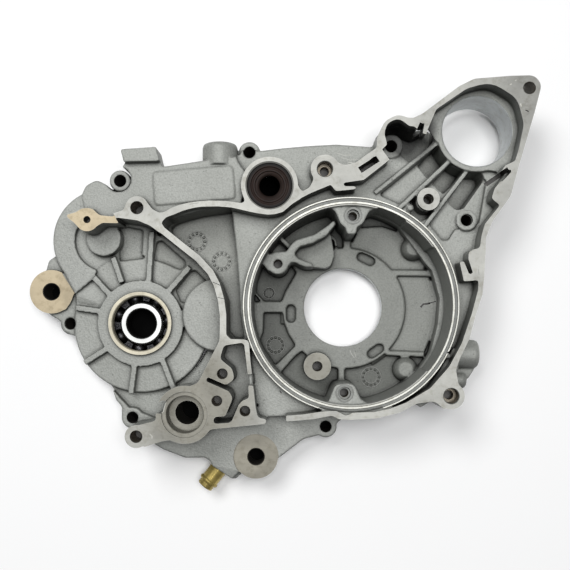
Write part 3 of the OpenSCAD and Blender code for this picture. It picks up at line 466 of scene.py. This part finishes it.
def machine(name, build):
    work = bmesh.new()
    build(work)
    bmesh.ops.recalc_face_normals(work, faces=work.faces)
    mesh = bpy.data.meshes.new(name)
    work.to_mesh(mesh)
    work.free()
    for m in METALS:
        mesh.materials.append(m)
    tool = obj_from(name, mesh)
    cut = casting.modifiers.new(name, "BOOLEAN")
    cut.operation, cut.solver, cut.object = "DIFFERENCE", "MANIFOLD", tool
    cut.material_mode = "TRANSFER"
    result = apply_modifiers(casting)
    bpy.data.objects.remove(tool)
    print(name, "->", len(result.polygons), "faces")


def mill_joint(work):
    field = [(-260, -160), (160, -160), (160, 180), (-260, 180)]
    slab(work, field, JOINT, JOINT + 8)
    slab(work, field, -8, 0)


def mill_low_faces(work):
    slab(work, [(-188, 49), (-188, 68), (-160, 68), (-153.6, 60), (-151.2, 54.9), (-158, 49)],
         JOINT - 1.5, JOINT + 2, CHAMPAGNE)
    slab(work, [(-222, -6), (-204, -6), (-193, -2.2), (-187.4, 9.7), (-197.5, 25.6), (-201.5, 26.6), (-222, 27)],
         MOUNT, MOUNT + 4, CHAMPAGNE)
    lathe(work, BEARING, [(24, HUB + 2.5), (24, HUB + 8)], CHAMPAGNE)
    lathe(work, PILLAR, [(9, DECK + 5), (9, DECK + 9)], METAL)
    lathe(work, POST, [(11, WEB + 16), (11, WEB + 20)], METAL)
    lathe(work, MOUNTS[1], [(15.8, MOUNT), (15.8, MOUNT + 5)], METAL)


def turn_ring(work):
    top, step, groove = RING, RING - 0.8, RING - 1.2
    # The ridge's chamfers take the lighter slot (painted highlight) and the groove and its step the dark grey slot
    # (painted shade)
    ring_cut(work, RING_C, [(66.0, step, METAL), (67.3, step, SHINE), (67.7, top, SHINE), (68.8, top, SHADE_GREY),
                            (69.2, groove, SHADE_GREY), (70.8, groove, SHINE), (71.1, top, SHINE), (71.8, top, METAL),
                            (72.1, top - 0.3, METAL), (72.4, top + 0.2, METAL), (72.4, top + 2.9, METAL),
                            (66.0, top + 2.9, METAL)], 200)


def drill(work):
    for place, profile, slot, parts in HOLES:
        lathe(work, place, profile, slot, parts)


machine("mill_joint", mill_joint)
machine("mill_low_faces", mill_low_faces)
machine("turn_ring", turn_ring)
machine("drill", drill)

# %% [markdown]
# ## Wear and casting marks
# The photograph shows one crack-like mark on the chamber floor, a few scratches, nicks and dents. Each is a
# thin strip cut into the surface it lies on: deep and dark for a crack, a few hundredths deep for a scratch.

# %%
# Cut the marks. Each has a path, a width, the level of its surface, a depth and a material slot
MARKS = [
    ([(55.6, 0.2), (57.6, 2.4), (60.4, 2.7), (62.4, 3.2)], 1.4, WEB - 1.5, 2.4, BLACK),
    ([(61.6, 3.0), (63.4, 3.6), (66.6, 4.4)], 0.8, WEB - 1.5, 2.4, BLACK),
    ([(5.0, -30.4), (6.4, -33.4), (8.2, -35.8)], 0.35, WEB, 0.05, METAL),
    ([(8.2, -31.8), (8.9, -33.6), (9.4, -35.4)], 0.3, WEB, 0.05, METAL),
    ([(-44.6, -57.2), (-43.4, -59.0)], 0.9, DECK, 0.5, BLACK),
    ([(107.4, 146.0), (108.8, 146.6)], 0.7, JOINT, 0.08, SHINE),
    ([(110.8, 148.6), (111.9, 149.2)], 0.6, JOINT, 0.08, SHINE),
    ([(114.4, 133.6), (115.2, 131.6)], 0.8, JOINT, 0.08, SHINE),
    ([(117.8, 129.2), (120.0, 128.2)], 0.8, JOINT, 0.5, BLACK),
    ([(-130.2, -84.8), (-128.6, -86.4), (-129.0, -87.6)], 0.8, JOINT, 0.08, SHINE),
    ([(-88.6, 15.6), (-83.4, 13.4)], 0.6, JOINT, 0.7, SHADE_GREY),
    ([(-85.6, 5.6), (-80.6, 4.4)], 0.5, JOINT, 0.7, SHADE_GREY),
    ([(-106.4, -100.4), (-106.2, -103.6)], 0.5, 25, 0.5, BLACK),
    ([(66.6, -31.2), (70.8, -29.4)], 1.1, RING, 3.2, BLACK),
    ([(-6.4, 104.6), (-1, 102.8), (4, 103.2)], 0.5, DECK, 0.05, METAL),
    ([(-3, 101.4), (3, 99.6), (9, 100.2)], 0.4, DECK, 0.05, METAL),
    ([(2, 98.0), (8, 97.4)], 0.6, DECK, 0.05, METAL),
    ([(-34.0, 83.4), (-33.4, 80.8)], 0.4, DECK, 0.05, METAL),
    ([(86.6, 24.6), (87.2, 20.4)], 0.3, JOINT, 0.06, SHADE_GREY),
    ([(-104, 67.0), (-98, 67.9)], 0.3, JOINT, 0.06, SHADE_GREY),
    # Three deep, narrow slots with near-black walls for dark gaps at the top of the part: painted shade
    ([(8.4, 89.5), (20.4, 97.2)], 4.4, JOINT, 22, BLACK),
    ([(95.4, 82.8), (106.5, 90.3)], 3.0, JOINT, 22, BLACK),
    ([(49.2, 120.8), (44.2, 110)], 2.2, JOINT, 22, BLACK),
]


def scratch(work):
    for path, width, level, depth, slot in MARKS:
        slab(work, strip(path, width), level - depth, level + 0.4, slot)
    # A small hole with near-black walls: painted shade
    lathe(work, (53, 60), [(1.3, DECK - 6), (1.3, DECK + 2)], BLACK, 20)


machine("scratch", scratch)

# %% [markdown]
# ## Date marks
# Die casters press small round date marks into their dies. One Geometry Nodes tree makes the mark: two thin
# rings with a row of dots between them. It holds no figures.

# %%
# Build the tree for one mark


def date_mark_tree():
    tree = bpy.data.node_groups.new("date_mark", "GeometryNodeTree")
    face = tree.interface
    for name, kind, value in [("Radius", "NodeSocketFloat", 0.007), ("Dots", "NodeSocketInt", 12),
                              ("Wire", "NodeSocketFloat", 0.00025), ("Seed", "NodeSocketInt", 4)]:
        face.new_socket(name, in_out="INPUT", socket_type=kind).default_value = value
    face.new_socket("Material", in_out="INPUT", socket_type="NodeSocketMaterial")
    face.new_socket("Geometry", in_out="OUTPUT", socket_type="NodeSocketGeometry")
    inputs = tree.nodes.new("NodeGroupInput").outputs
    outputs = tree.nodes.new("NodeGroupOutput").inputs
    wire = add(tree, "GeometryNodeCurvePrimitiveCircle", {"Resolution": 6})
    tree.links.new(inputs["Wire"], wire.inputs["Radius"])
    parts = []
    for share in (1.0, 0.62):
        size = add(tree, "ShaderNodeMath", {1: share}, operation="MULTIPLY")
        tree.links.new(inputs["Radius"], size.inputs[0])
        path = add(tree, "GeometryNodeCurvePrimitiveCircle", {"Resolution": 64})
        tree.links.new(size.outputs[0], path.inputs["Radius"])
        tube = add(tree, "GeometryNodeCurveToMesh")
        tree.links.new(path.outputs["Curve"], tube.inputs["Curve"])
        tree.links.new(wire.outputs["Curve"], tube.inputs["Profile Curve"])
        parts.append(tube.outputs["Mesh"])
    size = add(tree, "ShaderNodeMath", {1: 0.81}, operation="MULTIPLY")
    tree.links.new(inputs["Radius"], size.inputs[0])
    row = add(tree, "GeometryNodeMeshCircle")
    tree.links.new(inputs["Dots"], row.inputs["Vertices"])
    tree.links.new(size.outputs[0], row.inputs["Radius"])
    dot = add(tree, "GeometryNodeMeshUVSphere", {"Segments": 12, "Rings": 6})
    bigger = add(tree, "ShaderNodeMath", {1: 2.6}, operation="MULTIPLY")
    tree.links.new(inputs["Wire"], bigger.inputs[0])
    tree.links.new(bigger.outputs[0], dot.inputs["Radius"])
    vary = add(tree, "FunctionNodeRandomValue", {2: 0.85, 3: 1.1}, data_type="FLOAT")
    tree.links.new(inputs["Seed"], vary.inputs["Seed"])
    place = add(tree, "GeometryNodeInstanceOnPoints")
    tree.links.new(row.outputs["Mesh"], place.inputs["Points"])
    tree.links.new(dot.outputs["Mesh"], place.inputs["Instance"])
    tree.links.new(vary.outputs[1], place.inputs["Scale"])
    parts.append(place.outputs["Instances"])
    join = tree.nodes.new("GeometryNodeJoinGeometry")
    for part in parts:
        tree.links.new(part, join.inputs["Geometry"])
    real = tree.nodes.new("GeometryNodeRealizeInstances")
    paint = tree.nodes.new("GeometryNodeSetMaterial")
    tree.links.new(join.outputs["Geometry"], real.inputs["Geometry"])
    tree.links.new(real.outputs["Geometry"], paint.inputs["Geometry"])
    tree.links.new(inputs["Material"], paint.inputs["Material"])
    tree.links.new(paint.outputs["Geometry"], outputs["Geometry"])
    return tree


mark_tree = date_mark_tree()
print("tree:", mark_tree.name, len(mark_tree.nodes), "nodes")

# %%
# Place the five marks as one piece that rides with the casting
DATE_MARKS = [((-103.3, 46.4), 18, 7), ((-85.8, 32.6), 18, 7), ((-52.6, 10.5), 8, 4), ((-48, -26.8), 8, 6.6),
              ((20.5, -49.7), 8, 7.2)]
work = bmesh.new()
for number, (place, level, r) in enumerate(DATE_MARKS):
    mark_obj = obj_from("mark", bpy.data.meshes.new("mark"))
    grow = mark_obj.modifiers.new("mark", "NODES")
    grow.node_group = mark_tree
    for item in mark_tree.interface.items_tree:
        if item.in_out == "INPUT":
            values = {"Radius": r / 1000, "Dots": 12, "Wire": 0.00036, "Seed": number, "Material": PRESSED}
            grow[item.identifier] = values[item.name]
    mark_mesh = apply_modifiers(mark_obj)
    mark_mesh.transform(Matrix.Translation(at(*place, level + 0.12)))
    work.from_mesh(mark_mesh)
    bpy.data.objects.remove(mark_obj)
bmesh.ops.recalc_face_normals(work, faces=work.faces)
mesh = bpy.data.meshes.new("date_marks")
work.to_mesh(mesh)
work.free()
mesh.materials.append(CAST)
mesh.shade_smooth()
marks = obj_from("date_marks", mesh)
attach(marks, "case")
print("date marks:", len(mesh.polygons), "faces")

# %%
# Soft shading on the skin, sharp edges where tools cut, and flats that shade flat
mesh = casting.data
mesh.shade_smooth()
mesh.set_sharp_from_angle(angle=math.radians(38))
even = casting.modifiers.new("even", "WEIGHTED_NORMAL")
even.weight, even.keep_sharp = 90, True
mesh = apply_modifiers(casting)
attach(casting, "case")
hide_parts("crankcase_half")
print("casting:", len(mesh.polygons), "faces,", [m.name for m in mesh.materials])

# %% [markdown]
# ## Fitted pieces
# The bearing, the oil seal and the nipple keep their exact solids, and get their finishes here.

# %%
# Steel, rubber and plated brass


def fitted(name, color, metallic, rough, scale, spread, level=0.5, rings=None):
    mat, tree, shader = new_material(name, color, metallic, rough)
    coord = add(tree, "ShaderNodeTexCoord")
    spots = noise(tree, coord, scale, 3.0)
    tone = ramp(tree, spots.outputs["Fac"], [(0.35, tuple(c * spread for c in color)), (0.65, color)])
    paint = tone.outputs["Color"]
    if rings:
        place, reach, stops = rings
        flat = add(tree, "ShaderNodeMapping", {"Location": -at(*place) * 1000 / reach,
                                               "Scale": (1000 / reach, 1000 / reach, 0)})
        tree.links.new(coord.outputs["Object"], flat.inputs["Vector"])
        far = add(tree, "ShaderNodeVectorMath", operation="LENGTH")
        tree.links.new(flat.outputs["Vector"], far.inputs[0])
        band = ramp(tree, far.outputs["Value"], stops)
        paint = blend(tree, "MULTIPLY", 1.0, paint, band.outputs["Color"])
    tree.links.new(paint, shader.inputs["Base Color"])
    shader.inputs["Specular IOR Level"].default_value = level
    fine = noise(tree, coord, scale * 8, 2.0)
    bump(tree, shader, fine.outputs["Fac"], 0.12, 0.0002)
    return mat


def grey(*steps):
    return [(position, (value, value, value)) for position, value in steps]


# The radial band keeps the inner race's face bright and darkens its bore and everything outside 14 mm, the outer race
# included: painted shade under the boss's lip
STEEL = fitted("ground_steel", (0.5, 0.51, 0.5), 0.9, 0.45, 90.0, 0.85,
               rings=(BEARING, 26, grey((0.40, 0.08), (0.43, 0.9), (0.53, 1.0), (0.545, 0.3), (0.6, 0.2))))
BALL = fitted("polished_ball", (0.6, 0.61, 0.62), 1.0, 0.06, 40.0, 0.95)
# Near-black cage: painted shade between the races
CAGE = fitted("pressed_cage", (0.035, 0.035, 0.037), 1.0, 0.33, 200.0, 0.6)
# The band darkens the seal's centre and its outermost ring: painted shade in the bore and in the gap to the housing;
# the rings between are lighter and darker bands
RUBBER = fitted("seal_rubber", (0.030, 0.0175, 0.0135), 0.0, 0.5, 160.0, 0.7, level=0.12,
                rings=(SEAL, 15.1, grey((0.46, 0.25), (0.50, 0.7), (0.54, 0.4), (0.60, 0.95), (0.66, 0.55), (0.70, 0.9),
                                        (0.86, 0.8), (0.90, 0.08))))
SPRING = fitted("drawn_wire", (0.6, 0.6, 0.61), 1.0, 0.3, 300.0, 0.8)
BRASS = fitted("plated_brass", (0.5, 0.39, 0.12), 0.6, 0.27, 120.0, 0.6)


def finish_node(name, material):
    data = nodes[name].data
    data.materials.clear()
    data.materials.append(material)


for name in nodes:
    if name.startswith("ball_"):
        finish_node(name, BALL)
    elif name.startswith("cage_"):
        finish_node(name, CAGE)
    elif name.endswith("_race"):
        finish_node(name, STEEL)
finish_node("oil_seal", RUBBER)
finish_node("seal_spring", SPRING)
finish_node("hose_nipple", BRASS)

# %% [markdown]
# ## Stage, light and camera
# The part lies on a plain pale floor under a wide soft light, and the camera looks straight down on it.

# %%
# Floor, lights and camera
floor_mesh = bpy.data.meshes.new("floor")
floor_mesh.from_pydata([(-6, -6, 0), (6, -6, 0), (6, 6, 0), (-6, 6, 0)], [], [(0, 1, 2, 3)])
floor = obj_from("floor", floor_mesh)
floor.location.z = -0.0002
PALE, tree, shader = new_material("pale_floor", (0.9, 0.9, 0.9), 0.0, 0.8)
floor_mesh.materials.append(PALE)
work = bmesh.new()
for place, r in [(BEARING, 30), (SEAL, 16), (OIL, 12), (MOUNTS[0], 9), (MOUNTS[1], 9)] + [(b, 6) for b, top in BOLTS]:
    lathe(work, place, [(r, -0.15), (r, -0.05)])
mesh = bpy.data.meshes.new("shade_below")
work.to_mesh(mesh)
work.free()
SHADE, tree, shader = new_material("shade_below", (0.004, 0.004, 0.004), 0.0, 1.0)
shader.inputs["Specular IOR Level"].default_value = 0.0
mesh.materials.append(SHADE)
obj_from("shade_below", mesh)


def area_light(name, place, aim, size, power):
    lamp = bpy.data.lights.new(name, "AREA")
    lamp.shape, lamp.size, lamp.energy = "SQUARE", size, power
    obj = bpy.data.objects.new(name, lamp)
    bpy.context.scene.collection.objects.link(obj)
    obj.location = place
    obj.rotation_euler = (Vector(aim) - Vector(place)).to_track_quat("-Z", "Y").to_euler()
    return obj


area_light("key", (-0.62, 0.8, 1.84), (0, 0, 0), 0.8, 22.0)
area_light("fill", (0.2, 0.12, 2.2), (0, 0, 0), 0.8, 30.0)
world = bpy.data.worlds.new("studio")
world.use_nodes = True
world.node_tree.nodes["Background"].inputs["Color"].default_value = (0.95, 0.97, 1.0, 1)
world.node_tree.nodes["Background"].inputs["Strength"].default_value = 0.1
bpy.context.scene.world = world
bpy.context.scene.view_settings.view_transform = "Standard"

lens = bpy.data.cameras.new("camera")
lens.lens, lens.sensor_width = 57.4, 36
lens.shift_x, lens.shift_y = -0.00526, 0.079
camera = bpy.data.objects.new("camera", lens)
camera.location = at(-39, -16, JOINT + 600)
bpy.context.scene.collection.objects.link(camera)
bpy.context.scene.camera = camera
print("camera at", [round(v, 4) for v in camera.location])
